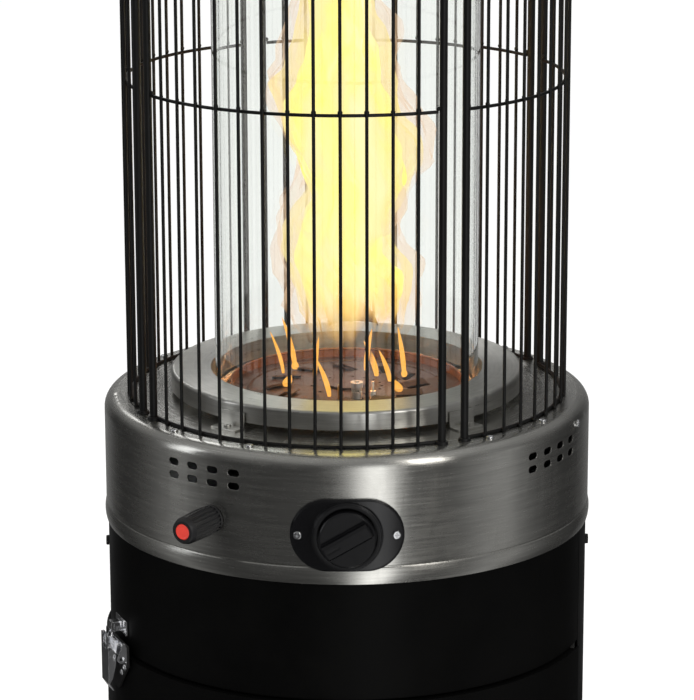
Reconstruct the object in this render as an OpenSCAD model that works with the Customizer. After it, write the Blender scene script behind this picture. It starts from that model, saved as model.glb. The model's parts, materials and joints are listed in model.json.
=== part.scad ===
// Round gas patio heater with a glass flame tube.
// Z is up, the ground is z = 0, the front (control knob) faces -Y.
// Azimuths are in degrees, 0 at the front and positive towards +X.

/* [Overall] */
// Radius of the steel control band
band_r = 225; // [218:1:280]
// Height of the deck, the flat top of the control band
deck_z = 800; // [760:5:980]
// Height of the control band from the deck to its lower lip
band_h = 116; // [112:1:150]
// Distance between one cage ring and the next
ring_pitch = 293; // [230:1:360]
// How far the base pan stands out beyond the drum
pan_margin = 51.6; // [46:0.2:70]

/* [Sheet metal] */
// Thickness of the band, drum, door and top sheets
sheet = 1.2; // [0.8:0.1:1.5]
// Thickness of the base pan
pan_t = 2; // [1.5:0.1:3]
// Radius of the rounded edge of the control band
edge_r = 12; // [8:0.5:14]

/* [Glass and burner] */
// Outer radius of the glass tube
glass_r = 122; // [102:1:132]
// Wall of the glass tube
glass_t = 3; // [2:0.5:5]
// Rim radius of the burner bowl
burner_r = 108; // [88:1:111]

/* [Cage] */
// Radius of the thin cage wires
wire_r = 1.5; // [1.2:0.1:1.8]
// Radius of the cage posts
post_r = 3.5; // [2.9:0.1:4.2]
// Number of thin wires in one of the four panels
panel_wires = 12; // [8:1:14]
// Azimuth of the seam between the two front panels
seam_az = 27.5; // [20:0.5:35]

/* [Controls] */
// Radius of the control knob
knob_r = 25; // [21:0.5:30]
// How far the knob's face stands out from the band
knob_reach = 25; // [23:0.5:30]
// Radius of the valve stem
stem_r = 4; // [3.4:0.1:4.8]
// How far the knob can be pressed in
knob_push = 4; // [2:0.5:4]
// Azimuth of the igniter
ign_az = -32; // [-40:1:-28]
// Largest radius of the igniter cap
ign_r = 13; // [11.6:0.1:15]
// Travel of the igniter button
button_push = 3; // [1:0.5:3]

/* [Door, base and wheels] */
// Gap between the top of the door and the fascia above it
door_gap = 2.5; // [1.5:0.5:4]
// Radius of a hinge pin
pin_r = 2.5; // [2.1:0.1:3]
// Radius of a wheel
wheel_r = 30; // [25:1:36]
// Width of a wheel
wheel_w = 20; // [17:1:24]
// Radius of the wheel axle
axle_r = 4; // [3.4:0.1:4.8]
// Height of the rubber feet
foot_h = 6; // [5:0.5:7]

/* [Hidden] */
$fn = 96;

// Clearances
seat = 0.05;      // two rigid faces that rest on each other
skin = 0.3;       // two curved faces that lie on each other
running = 0.06;   // a pin or shaft that turns in a hole
screw_gap = 0.15; // a screw's shank in its hole
cut = 1;          // how far a cutter runs past a face

// Base pan
pan_h = 24;
pan_flange_w = 50;
pan_top = foot_h + pan_h;
drum_r = band_r - 1.6;
pan_r = drum_r + pan_margin;
pan_flat_y = drum_r + 12.6;
foot_r = 16;
foot_ring_r = pan_r - 25;
foot_azs = [45, 135, 225, 315];
anchor_r = 4.5;
foot_stem_r = 5;
anchor_azs = [0, 120, 240];
vent_hole_r = 70;
bottle_ring_r = 163;
bottle_ring_h = 16;

// Wheels
wheel_lift = 4;
wheel_y = pan_r - wheel_r;
wheel_z = wheel_r + wheel_lift;
ear_x = 140;
ear_t = 3;
wheel_x = ear_x + ear_t + 2 + wheel_w / 2;
wheel_gap = 5;
cap_t = 5;
axle_end = wheel_x + wheel_w / 2 + 1 + cap_t - 1;
slot_in = ear_x + ear_t + 0.5;
slot_out = axle_end + 4;

// Body above the base
seam_z = deck_z - 225;
door_top = seam_z - door_gap / 2;
fascia_bottom = seam_z + door_gap / 2;
door_bottom = pan_top + 3;
door_lift = 2.9;
door_r = drum_r + door_lift + sheet;
floor_z = deck_z - band_h + 16;
floor_t = 1.5;
flange_h = 52;
shell_top = floor_z - 3;
post_w = 22;
post_d = 12;
post_t = 1.5;
post_face = drum_r - sheet - 2.2;
post_azs = [-95, 76, 150, 210];
shell_from = 73;
shell_to = 267;
fascia_from = -92.5;
fascia_to = 72.5;
door_from = -97;
door_to = 70;
door_return = 11;

// Hinges
hinge_az = 72.5;
hinge_r = drum_r + 9.6;
knuckle_r = pin_r + 2.5;
knuckle_h = 20;
hinge_zs = [pan_top + 90, seam_z - 125];
leaf_t = 2;

// Latch, in its own frame: x along the band, -y outwards
latch_az = -68;
latch_w = 62;
latch_h = 49;
latch_v = 29;
latch_t = 2;
latch_top = seam_z + 12;
latch_rivets_top = [-24, 24];
latch_rivets_low = [-14, 14];
latch_rivet_drop = [22, 30];
latch_rivet_r = 1.6;
bracket_t = 0.9;
shaft_r = 1.6;
hub_r = shaft_r + 1.4;
shaft_out = bracket_t + hub_r;
shaft_y = latch_t + 2 * seat + shaft_out;
shaft_z = latch_top - 2;
crank_e = 5;
crank_az = 50;
claw_pin_r = 1.2;
claw_w = 8;
keeper_w = 8.6;
groove_in = 1.5;
groove_out = 8.2;
lip_t = 1.5;
keeper_z = seam_z + 18.5;
lip_h = 7.5;
claw_t = 1.5;
claw_hook = 4.5;
ear_at = 7.6;
eye_x = 28.8;
lever_w = 20;
lever_out = 7.5;
lever_up = 6.5;
lever_down = 40;
lever_t = 1.2;

// Control band
rim_r = min(burner_r, glass_r - 14);
deck_hole_r = rim_r + 8;
bead_h = 15;
bead_top = deck_z - band_h + bead_h;
bead_out = 1.2;
bead_R = (pow(bead_h / 2, 2) + bead_out * bead_out) / (2 * bead_out);
vent_azs = [-34.5, 55.5, 145.5, 235.5];
vent_pitch = 5.55;
vent_w = 11.5;
vent_h = 6.5;
vent_zs = [-21, -33];
deck_screw_azs = [-47, -24, 37, 57, 133, 156, 217, 237];
side_screw_azs = [68, 248];
side_screw_z = deck_z - 10.5;
band_screw_r = 1.6;
band_screw_head = 3.4;
body_screw_azs = [-88, 88, 180];
body_screw_z = deck_z - 145;

// Knob, bezel and valve
knob_z = deck_z - 70.4;
bezel_w = 100;
bezel_h = 65.4;
bezel_t = 3.2;
bezel_screw_x = 43;
bezel_screw_az = asin(bezel_screw_x / (band_r + bezel_t));
boss_r = knob_r + 6;
recess_r = knob_r + 1.3;
boss_y = band_r + 8.5;
recess_y = band_r + knob_reach - 20.5;
knob_back = recess_y + knob_push + 0.8;
knob_front = band_r + knob_reach;
knob_skirt = 7;
grip_w = 13.8;
grip_tilt = 30;
washer_r = stem_r + 5;
washer_t = 1.5;
neck_r = stem_r + 8;
neck_front = band_r - 13;
neck_back = band_r - 25;
valve_back = band_r - 60;
valve_w = 30;
valve_low = knob_z - 22;
valve_high = knob_z + 18;
stem_in = band_r - 30;
tube_r = 4;
tube_z = floor_z + 12;
inlet_r = 6.5;
inlet_y = band_r - 43;
inlet_low = floor_z - 28;

// Burner
bowl_rim_z = deck_z + 10;
bowl_floor_z = deck_z - 39;
bowl_hole_r = 22;
plate_z = deck_z + 1;
plate_t = 1.5;
vane_n = 12;
vane_r = rim_r * 0.61;
vane_len = 27;
vane_tilt = 38;
mixer_low = floor_z + 22;
pilot_az = 12;
pilot_at = 44;
pilot_r = 5;
electrode_az = 30;
electrode_at = pilot_at + 4;
electrode_r = 2.6;
probe_az = -8;
probe_at = pilot_at + 2;
probe_r = 2;
lead_r = 1.5;
pilot_tube_r = 2;

// Glass seat
collar_r = glass_r + 41;
collar_hole_r = glass_r + 4;
collar_h = 23;
collar_z = deck_z + collar_h;
collar_lift = 6;
bracket_azs = [-38.5, 38.5, 141.5, 218.5];
gasket_t = 2.4;
glass_low = deck_z + gasket_t + 2 * seat;

// Cage
cage_r = band_r - 23;
ring_r = cage_r - 2 * wire_r - seat;
ring_zs = [for (i = [0:3]) i * ring_pitch + wire_r + seat];
cage_h = 3 * ring_pitch + 2 * wire_r;
post_step = 360 / (4 * (panel_wires + 2));
stud_r = 2.4;
stud_h = 6;
guard_z = deck_z + cage_h + 3;
glass_top = guard_z - 6;
guard_t = 1.5;
guard_out_r = cage_r + post_r + 4;
guard_hole_r = glass_r - 11;
guard_rim = 18;

// Top
outlet_r = glass_r + 12;
dome_rise = 35;
dome_r = band_r + 5;
dome_brim_z = guard_z + 66;
dome_R = (dome_r * dome_r + dome_rise * dome_rise) / (2 * dome_rise);
outlet_slots = 20;
cap_bolt_r = 3;
cap_bolt_at = outlet_r + 22;
cap_bolt_azs = [45, 135, 225, 315];

// Igniter
ign_z = deck_z - 66;
ign_tip = band_r + 45;
ign_groove = band_r + 9;
thread_r = ign_r - 4.5;
button_r = ign_r - 5.8;
cell_r = 5.2;
cell_len = 43;
cell_front = band_r + 2;
flutes = 20;
ign_depth = 57;

// Height of the dome's outer face above the ground at a distance from the axis
function dome_z(r) = dome_brim_z + sqrt(dome_R * dome_R - r * r) - (dome_R - dome_rise);
// Point at an azimuth, a distance from the axis and a height
function at_az(a, r, z) = [r * sin(a), -r * cos(a), z];
function unit(v) = v / norm(v);
// Direction of a route at one of its points
function heading(p, i) = unit(p[min(i + 1, len(p) - 1)] - p[max(i - 1, 0)]);
function ring_of(p, t, ref, r, n) =
  let (u = unit(cross(t, ref)), v = cross(t, u))
  [for (k = [0:n - 1]) p + r * (cos(360 * k / n) * u + sin(360 * k / n) * v)];

// ---- shared shapes ----

// Moves a shape to an azimuth: its -Y side then faces away from the axis
module around(a, r = 0, z = 0) {
  rotate([0, 0, a])
    translate([0, -r, z])
      children();
}

// A hollow round wall between two heights
module wall(r_out, t, z0, z1) {
  difference() {
    translate([0, 0, z0]) cylinder(r = r_out, h = z1 - z0);
    translate([0, 0, z0 - cut]) cylinder(r = r_out - t, h = z1 - z0 + 2 * cut);
  }
}

// The same wall over the part of the circle between two azimuths
module curved_wall(r_out, t, z0, z1, from, to) {
  reach = 4 * r_out;
  translate([0, 0, z0])
    linear_extrude(z1 - z0)
      intersection() {
        difference() {
          circle(r_out);
          circle(r_out - t);
        }
        polygon([[0, 0], for (i = [0:4]) let (a = from + (to - from) * i / 4) reach * [sin(a), -cos(a)]]);
      }
}

// Cylinder along -Y, from y = -y0 out to y = -y1
module out_rod(r, y0, y1) {
  translate([0, -y0, 0])
    rotate([90, 0, 0])
      cylinder(r = r, h = y1 - y0);
}

// Cylinder along X between two places
module cross_rod(r, x0, x1) {
  translate([x0, 0, 0])
    rotate([0, 90, 0])
      cylinder(r = r, h = x1 - x0);
}

// Flat outline with round ends, w wide and h high
module stadium(w, h) {
  square([w - h, h], center = true);
  for (s = [-1, 1])
    translate([s * (w - h) / 2, 0])
      circle(d = h);
}

// Stadium-shaped block along -Y
module out_stadium(w, h, y0, y1) {
  translate([0, -y0, 0])
    rotate([90, 0, 0])
      linear_extrude(y1 - y0)
        stadium(w, h);
}

// Pan-head screw whose head rests on y = 0 and points to -Y, with a cross recess
module pan_screw(shank_r, length, head_r) {
  difference() {
    union() {
      out_rod(shank_r, -length, 0.2);
      rotate([90, 0, 0])
        rotate_extrude()
          difference() {
            square([head_r, head_r * 0.62]);
            translate([head_r - 0.8, head_r * 0.62 - 0.8])
              difference() {
                square([2, 2]);
                circle(r = 0.8, $fn = 32);
              }
          }
    }
    for (q = [0, 90])
      rotate([0, q, 0])
        translate([-head_r * 0.55, -head_r, -0.35])
          cube([head_r * 1.1, head_r * 0.72, 0.7]);
  }
}

// Round-section tube along a route of points
module tube_along(route, r, ref, n = 8) {
  rings = [for (i = [0:len(route) - 1]) ring_of(route[i], heading(route, i), ref, r, n)];
  last = (len(route) - 1) * n;
  points = [for (g = rings) for (p = g) p];
  sides = [for (i = [0:len(route) - 2]) for (k = [0:n - 1])
    [i * n + k, (i + 1) * n + k, (i + 1) * n + (k + 1) % n, i * n + (k + 1) % n]];
  ends = [[for (k = [0:n - 1]) k], [for (k = [n - 1:-1:0]) last + k]];
  polyhedron(points, concat(sides, ends));
}

// ---- base ----

module pan_outline(inset) {
  difference() {
    circle(pan_r - inset, $fn = 180);
    translate([-pan_r, pan_flat_y - inset])
      square([2 * pan_r, pan_r]);
    for (s = [-1, 1])
      translate([s * (slot_in + slot_out) / 2 - (slot_out - slot_in) / 2 - inset,
                 wheel_y - wheel_r - wheel_gap - inset])
        square([slot_out - slot_in + 2 * inset, pan_r]);
  }
}

module base_pan() {
  color([0.09, 0.09, 0.09])
    difference() {
      translate([0, 0, foot_h])
        linear_extrude(pan_h)
          pan_outline(0);
      translate([0, 0, foot_h + pan_t])
        linear_extrude(pan_h - 2 * pan_t)
          pan_outline(pan_t);
      translate([0, 0, foot_h - cut])
        cylinder(r = pan_r - pan_flange_w, h = pan_t + 2 * cut);
      translate([0, 0, foot_h])
        cylinder(r = vent_hole_r, h = pan_h + cut);
      for (a = anchor_azs)
        around(a, foot_ring_r, foot_h - cut)
          cylinder(r = anchor_r, h = pan_h + 2 * cut);
      for (a = foot_azs)
        around(a, foot_ring_r, foot_h - cut)
          cylinder(r = foot_stem_r + seat, h = pan_t + 2 * cut);
    }
}

module base_feet() {
  color([0.05, 0.05, 0.05])
    for (a = foot_azs)
      around(a, foot_ring_r) {
        rotate_extrude()
          polygon([[0, 0], [foot_r - 2, 0], [foot_r, 2], [foot_r, foot_h - seat],
                   [foot_stem_r, foot_h - seat], [foot_stem_r, foot_h + pan_t + seat],
                   [foot_stem_r + 2.5, foot_h + pan_t + seat],
                   [foot_stem_r - 1, foot_h + pan_t + 5], [0, foot_h + pan_t + 5]]);
      }
}

module bottle_ring() {
  color([0.12, 0.12, 0.12]) {
    wall(bottle_ring_r, 1.5, pan_top + seat, pan_top + bottle_ring_h);
    difference() {
      translate([0, 0, pan_top + seat]) cylinder(r = bottle_ring_r + 14, h = 1.5);
      translate([0, 0, pan_top - cut]) cylinder(r = bottle_ring_r - 1.4, h = 4);
    }
  }
}

// ---- frame and drum ----

module frame_posts() {
  color([0.13, 0.13, 0.13])
    for (a = post_azs)
      around(a, post_face, pan_top + seat)
        difference() {
          translate([-post_w / 2, 0, 0])
            cube([post_w, post_d, floor_z - pan_top - 2 * seat]);
          translate([-post_w / 2 + post_t, post_t, -cut])
            cube([post_w - 2 * post_t, post_d, deck_z]);
        }
}

module rear_shell() {
  color([0.06, 0.06, 0.06])
    difference() {
      curved_wall(drum_r, sheet, pan_top + seat, shell_top, shell_from, shell_to);
      for (a = [88, 180])
        around(a, 0, body_screw_z)
          out_rod(2.2, drum_r - 5, drum_r + 5);
      for (row = [0:3], k = [-3:3])
        around(180 + 5 * k, 0, pan_top + 60 + 18 * row)
          out_stadium(14, 6, drum_r - 5, drum_r + 5);
    }
}

module front_fascia() {
  color([0.06, 0.06, 0.06])
    difference() {
      curved_wall(drum_r, sheet, fascia_bottom, shell_top, fascia_from, fascia_to);
      around(-88, 0, body_screw_z)
        out_rod(2.2, drum_r - 5, drum_r + 5);
    }
}

module body_screws() {
  color([0.05, 0.05, 0.05])
    for (a = body_screw_azs)
      around(a, drum_r + seat, body_screw_z)
        pan_screw(2, 7, 4.6);
}

// ---- wheels ----

module wheel_bracket() {
  color([0.1, 0.1, 0.1])
    difference() {
      union() {
        translate([-ear_x, pan_flat_y + seat, foot_h + 2])
          cube([2 * ear_x, ear_t, pan_h - 4]);
        for (s = [-1, 1])
          translate([s > 0 ? ear_x : -ear_x - ear_t, pan_flat_y + seat, foot_h + 2])
            cube([ear_t, wheel_y + 9 - pan_flat_y, wheel_z + 8 - foot_h]);
      }
      translate([0, wheel_y, wheel_z])
        cross_rod(axle_r + running, -ear_x - 9, ear_x + 9);
    }
}

module wheel_axle() {
  color([0.6, 0.6, 0.62])
    translate([0, wheel_y, wheel_z])
      cross_rod(axle_r, -axle_end, axle_end);
}

// Wheel about the X axis, centred on the origin: rounded tread, dished web, hub
module wheel() {
  rotate([0, 90, 0])
    difference() {
      rotate_extrude()
        union() {
          translate([0, -wheel_w / 2]) square([axle_r + 5, wheel_w]);
          translate([axle_r + 4, -2.5]) square([wheel_r - axle_r - 9, 5]);
          translate([wheel_r - 8, -wheel_w / 2 + 1]) square([5, wheel_w - 2]);
          translate([wheel_r - 8, -wheel_w / 2 + 4]) square([8, wheel_w - 8]);
          for (s = [-1, 1])
            translate([wheel_r - 4, s * (wheel_w / 2 - 4.5)]) circle(r = 4, $fn = 48);
        }
      translate([0, 0, -wheel_w]) cylinder(r = axle_r + running, h = 2 * wheel_w);
      for (k = [0:5])
        rotate([0, 0, 60 * k])
          translate([(wheel_r + axle_r) / 2 - 2, 0, -wheel_w])
            cylinder(r = 3.2, h = 2 * wheel_w);
    }
}

module wheel_left() {
  color([0.07, 0.07, 0.07])
    translate([-wheel_x, wheel_y, wheel_z]) wheel();
}

module wheel_right() {
  color([0.07, 0.07, 0.07])
    translate([wheel_x, wheel_y, wheel_z]) wheel();
}

module axle_caps() {
  color([0.15, 0.15, 0.15])
    for (s = [-1, 1])
      translate([s * (wheel_x + wheel_w / 2 + 1), wheel_y, wheel_z])
        rotate([0, s * 90, 0])
          difference() {
            rotate_extrude()
              polygon([[0, 0], [axle_r + 4, 0], [axle_r + 4, cap_t - 2], [axle_r + 2, cap_t], [0, cap_t]]);
            translate([0, 0, -cut]) cylinder(r = axle_r + seat, h = cap_t + seat);
          }
}

// ---- door ----

module door_panel() {
  color([0.06, 0.06, 0.06])
    difference() {
      union() {
        curved_wall(door_r, sheet, door_bottom, door_top, door_from, door_to);
        for (z = [door_bottom, door_top - sheet])
          curved_wall(door_r - sheet / 2, door_return, z, z + sheet, fascia_from + 4, door_to - 2);
      }
      around(latch_az, door_r)
        latch_rivet_holes();
    }
}

module door_hinge_leaves() {
  color([0.08, 0.08, 0.08])
    for (z = hinge_zs)
      around(hinge_az, hinge_r, z + knuckle_h + 0.4)
        difference() {
          union() {
            cylinder(r = knuckle_r, h = knuckle_h);
            translate([-28, hinge_r - door_r - leaf_t - skin, 0])
              cube([27, leaf_t, knuckle_h]);
            translate([-pin_r - 2, hinge_r - door_r - leaf_t - skin, 0])
              cube([pin_r, 3, knuckle_h]);
          }
          translate([0, 0, -cut]) cylinder(r = pin_r + running, h = knuckle_h + 2 * cut);
        }
}

module frame_hinge_leaves() {
  color([0.08, 0.08, 0.08])
    for (z = hinge_zs)
      around(hinge_az, hinge_r, z)
        difference() {
          union() {
            cylinder(r = knuckle_r, h = knuckle_h);
            translate([0, 2, 0])
              cube([2, hinge_r - drum_r - 2 - 2 * skin, knuckle_h]);
            translate([0, hinge_r - drum_r - leaf_t - skin, 0])
              cube([26, leaf_t, knuckle_h]);
            translate([7, hinge_r - drum_r - leaf_t - skin, 0])
              cube([19, leaf_t, 2 * knuckle_h]);
          }
          translate([0, 0, -cut]) cylinder(r = pin_r + seat, h = knuckle_h + 2 * cut);
        }
}

module hinge_pins() {
  color([0.62, 0.62, 0.63])
    for (z = hinge_zs)
      around(hinge_az, hinge_r, z - 2) {
        cylinder(r = pin_r, h = 2 * knuckle_h + 4.4);
        cylinder(r = pin_r + 1.5, h = 2 - seat);
      }
}

// ---- latch ----

module latch_plate() {
  color([0.07, 0.07, 0.07])
    around(latch_az, door_r + seat, latch_top)
      difference() {
        rotate([90, 0, 0])
          linear_extrude(latch_t)
            polygon([[-latch_w / 2, 0], [latch_w / 2, 0], [latch_w / 2, latch_v - latch_h],
                     [4, -latch_h], [-4, -latch_h], [-latch_w / 2, latch_v - latch_h]]);
        translate([0, 0, -latch_top]) latch_rivet_holes();
      }
}

// Puts a shape at each rivet of the latch
module at_latch_rivets() {
  for (x = latch_rivets_top)
    translate([x, 0, latch_top - latch_rivet_drop[0]]) children();
  for (x = latch_rivets_low)
    translate([x, 0, latch_top - latch_rivet_drop[1]]) children();
}

module latch_rivet_holes() {
  at_latch_rivets()
    out_rod(latch_rivet_r + 0.1, -8, 4);
}

// Stands a flat outline, drawn as [outwards, up], across the latch between two x
module latch_side(x0, x1) {
  translate([x0, 0, 0])
    rotate([90, 0, 90])
      linear_extrude(x1 - x0)
        scale([-1, 1]) children();
}

module latch_bracket() {
  color([0.82, 0.82, 0.84])
    around(latch_az, door_r + latch_t + 2 * seat, shaft_z)
      difference() {
        union() {
          translate([-13, -bracket_t, -14]) cube([eye_x + 14.4, bracket_t, 15.5]);
          for (x = [-ear_at, ear_at])
            latch_side(x - 0.6, x + 0.6)
              union() {
                translate([shaft_out, 0]) circle(r = hub_r);
                polygon([[0, -5], [0, 1.5], [shaft_out, hub_r], [shaft_out, -hub_r]]);
              }
          // padlock eye, a drop on edge beside the lever
          latch_side(eye_x, eye_x + 1.4)
            difference() {
              union() {
                translate([4.4, -9.5]) circle(r = 4.4);
                translate([2.6, 3.5]) circle(r = 1.6);
                polygon([[0, -9.5], [1, 3.5], [4.2, 3.5], [8.8, -9.5]]);
              }
              translate([4.6, -9.5]) circle(r = 2.3);
            }
        }
        translate([0, -shaft_out, 0]) cross_rod(shaft_r + running, -12, 12);
      }
}

module latch_rivets() {
  color([0.8, 0.8, 0.82])
    around(latch_az, door_r + latch_t + 2 * seat)
      at_latch_rivets() rivet();
}

module rivet() {
  rotate([90, 0, 0])
    rotate_extrude()
      polygon([[0, -7], [latch_rivet_r, -7], [latch_rivet_r, 0], [3, 0], [2.6, 1], [1.4, 1.6], [0, 1.6]]);
}

module latch_lever() {
  web_in = lever_out - lever_t;
  pin_out = crank_e * sin(crank_az);
  pin_up = -crank_e * cos(crank_az);
  side = lever_w / 2;
  color([0.85, 0.85, 0.87])
    around(latch_az, door_r + shaft_y, shaft_z) {
      cross_rod(shaft_r, -side - 1, side + 1);
      translate([0, -pin_out, pin_up]) cross_rod(claw_pin_r, -side - 0.8, side + 0.8);
      for (x = [-side, side - lever_t])
        latch_side(x, x + lever_t)
          union() {
            circle(r = hub_r - 0.4);
            polygon([[lever_out, lever_up], [4.6, lever_up], [1.6, 2.2], [-1.6, -1.5], [-0.4, -9],
                     [0.2, -22], [3.4, -35], [web_in, -lever_down], [lever_out, -lever_down]]);
          }
      // heads of the shaft and the pin on the two cheeks
      for (s = [-1, 1]) {
        translate([s * (side + 0.6), 0, 0]) cross_rod(2.6, -0.7, 0.7);
        translate([s * (side + 0.5), -pin_out, pin_up]) cross_rod(1.9, -0.6, 0.6);
      }
      // cover, open above the pin where the claw passes
      difference() {
        translate([-side, -lever_out, -lever_down]) cube([lever_w, lever_t, lever_down + lever_up]);
        translate([-claw_w / 2 - 0.7, -lever_out - cut, pin_up - 4.4])
          cube([claw_w + 1.4, lever_t + 2 * cut, lever_down]);
      }
      // finger tab
      latch_side(-side, side)
        polygon([[lever_out, -lever_down], [3.2, -lever_down - 6.8], [2.2, -lever_down - 6.1],
                 [web_in, -lever_down + 0.4]]);
    }
}

module latch_claw() {
  eye_y = shaft_y + crank_e * sin(crank_az);
  eye_z = shaft_z - crank_e * cos(crank_az);
  lift = door_r - drum_r;
  hook_y = groove_in + 0.6 - lift;
  front_y = groove_out + lip_t + 0.8 - lift;
  top_z = keeper_z + lip_h + 0.4;
  color([0.85, 0.85, 0.87])
    around(latch_az, door_r)
      difference() {
        latch_side(-claw_w / 2, claw_w / 2)
          union() {
            translate([eye_y, eye_z]) circle(r = claw_pin_r + 1);
            polygon([[eye_y + 1, eye_z], [front_y + claw_t, eye_z + 11],
                     [front_y + claw_t, top_z + claw_t], [hook_y, top_z + claw_t],
                     [hook_y, top_z - claw_hook], [hook_y + claw_t, top_z - claw_hook],
                     [hook_y + claw_t, top_z], [front_y, top_z], [front_y, eye_z + 11],
                     [eye_y - 0.4, eye_z]]);
          }
        translate([0, -eye_y, eye_z]) cross_rod(claw_pin_r + running, -9, 9);
      }
}

module latch_keeper() {
  color([0.82, 0.82, 0.84])
    around(latch_az, drum_r + seat) {
      translate([-keeper_w / 2, 0, 0])
        rotate([90, 0, 90])
          linear_extrude(keeper_w)
            union() {
              translate([-groove_in, keeper_z - 2]) square([groove_in, 14]);
              translate([-groove_out - lip_t, keeper_z]) square([groove_out + lip_t, lip_t]);
              translate([-groove_out - lip_t, keeper_z]) square([lip_t, lip_h]);
            }
      for (s = [-1, 1])
        translate([s * 9.4 - 5.2, -groove_in, keeper_z - 2])
          cube([10.4, groove_in, 14]);
    }
}

// ---- control head ----

// Half section of the band: everything under its outer surface, moved in by inset
module band_section(inset) {
  low = deck_z - band_h - (inset > 0 ? cut : 0);
  translate([deck_hole_r - (inset > 0 ? cut : 0), low])
    square([band_r - edge_r - deck_hole_r + (inset > 0 ? cut : 0), deck_z - inset - low]);
  translate([deck_hole_r - (inset > 0 ? cut : 0), low])
    square([band_r - inset - deck_hole_r + (inset > 0 ? cut : 0), deck_z - edge_r - low]);
  translate([band_r - edge_r, deck_z - edge_r])
    circle(r = edge_r - inset);
}

module control_band() {
  lip_z = deck_z - band_h;
  color([0.66, 0.66, 0.64])
    difference() {
      rotate_extrude($fn = 180)
        difference() {
          union() {
            band_section(0);
            intersection() {
              translate([band_r + bead_out - bead_R, lip_z + bead_h / 2]) circle(r = bead_R, $fn = 180);
              translate([band_r - sheet / 2, lip_z]) square([9, bead_h]);
            }
          }
          band_section(sheet);
          translate([band_r + 0.5, lip_z + bead_h + 0.8]) circle(r = 1.1, $fn = 32);
        }
      for (a = vent_azs, k = [-1.5:1:1.5], z = vent_zs)
        around(a + k * vent_pitch, 0, deck_z + z)
          out_stadium(vent_w, vent_h, band_r - 5, band_r + 5);
      translate([0, 0, knob_z]) out_rod(neck_r + 4, band_r - 20, band_r + 5);
      around(ign_az, 0, ign_z) out_rod(thread_r + screw_gap, band_r - 20, band_r + 5);
      for (s = [-1, 1])
        around(s * bezel_screw_az, 0, knob_z) out_rod(1.5 + screw_gap, band_r - 6, band_r + 5);
      for (a = side_screw_azs)
        around(a, 0, side_screw_z) out_rod(band_screw_r + screw_gap, band_r - 6, band_r + 5);
      for (a = deck_screw_azs)
        around(a, band_r - 15.5, deck_z - 5) cylinder(r = band_screw_r + screw_gap, h = 9);
    }
}

module head_floor() {
  color([0.35, 0.35, 0.35])
    difference() {
      union() {
        translate([0, 0, floor_z]) cylinder(r = band_r - sheet - skin, h = floor_t);
        wall(drum_r - sheet - skin, 1.3, floor_z - flange_h, floor_z + 0.5);
      }
      translate([0, 0, floor_z - cut]) cylinder(r = 40, h = 9);
      translate([-22, -inlet_y - 18, floor_z - cut]) cube([44, 36, 9]);
      for (k = [1:11])
        around(30 * k, 120, floor_z - cut) cylinder(r = 9, h = 9);
      for (a = body_screw_azs)
        around(a, 0, body_screw_z) out_rod(2.2, drum_r - 15, drum_r + 5);
    }
}

module band_screws() {
  color([0.85, 0.85, 0.86]) {
    for (a = side_screw_azs)
      around(a, band_r + seat, side_screw_z) pan_screw(band_screw_r, 5, band_screw_head);
    for (a = deck_screw_azs)
      around(a, band_r - 15.5, deck_z + seat)
        rotate([-90, 0, 0]) pan_screw(band_screw_r, 5, band_screw_head);
  }
}

module bezel() {
  color([0.05, 0.05, 0.055])
    translate([0, 0, knob_z])
      difference() {
        union() {
          intersection() {
            out_stadium(bezel_w, bezel_h, band_r - 40, band_r + 20);
            translate([0, 0, -60]) cylinder(r = band_r + bezel_t - 1, h = 120);
          }
          intersection() {
            out_stadium(bezel_w - 2.4, bezel_h - 2.4, band_r - 40, band_r + 20);
            translate([0, 0, -60]) cylinder(r = band_r + bezel_t, h = 120);
          }
          out_rod(boss_r, band_r - 30, boss_y - 1.2);
          out_rod(boss_r - 1.2, band_r - 30, boss_y);
        }
        translate([0, 0, -60]) cylinder(r = band_r + skin, h = 120);
        translate([0, 0, bead_top - knob_z - 60]) cylinder(r = band_r + bead_out + skin / 2, h = 60);
        out_rod(recess_r, recess_y, band_r + 20);
        out_rod(neck_r + 1, band_r - 30, band_r + 20);
        for (s = [-1, 1])
          rotate([0, 0, s * bezel_screw_az]) out_rod(1.5 + screw_gap, band_r - 9, band_r + 20);
      }
}

module bezel_screws() {
  color([0.85, 0.85, 0.86])
    for (s = [-1, 1])
      around(s * bezel_screw_az, band_r + bezel_t + seat, knob_z)
        pan_screw(1.5, 8, 3.6);
}

// ---- knob and valve ----

module control_knob() {
  color([0.045, 0.045, 0.05])
    translate([0, 0, knob_z])
      difference() {
        union() {
          translate([0, -knob_back, 0])
            rotate([90, 0, 0])
              rotate_extrude()
                polygon([[0, 0], [knob_r, 0], [knob_r, knob_skirt - 1], [knob_r - 1, knob_skirt],
                         [0, knob_skirt]]);
          intersection() {
            rotate([0, -grip_tilt, 0])
              translate([-knob_r, -knob_front, -grip_w / 2])
                cube([2 * knob_r, knob_front - knob_back - 1, grip_w]);
            translate([0, -knob_back, 0])
              rotate([90, 0, 0])
                rotate_extrude()
                  polygon([[0, 0], [knob_r - 0.4, 0], [knob_r - 2.2, knob_front - knob_back - 1.2],
                           [knob_r - 3.4, knob_front - knob_back], [0, knob_front - knob_back]]);
            rotate([0, -grip_tilt, 0])
              translate([-knob_r, 0, 0])
                rotate([90, 0, 90])
                  linear_extrude(2 * knob_r)
                    polygon([[-knob_front, 5], [-knob_front + 2, grip_w / 2], [0, grip_w / 2],
                             [0, -grip_w / 2], [-knob_front + 2, -grip_w / 2], [-knob_front, -5]]);
          }
        }
        // shallow pointer line along the grip's outer half
        rotate([0, -grip_tilt, 0])
          translate([-knob_r * 0.8, -knob_front - cut, -0.6])
            cube([knob_r * 0.5, cut + 0.5, 1.2]);
        out_rod(stem_r + seat, knob_back - cut, knob_back + 9);
      }
}

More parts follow.
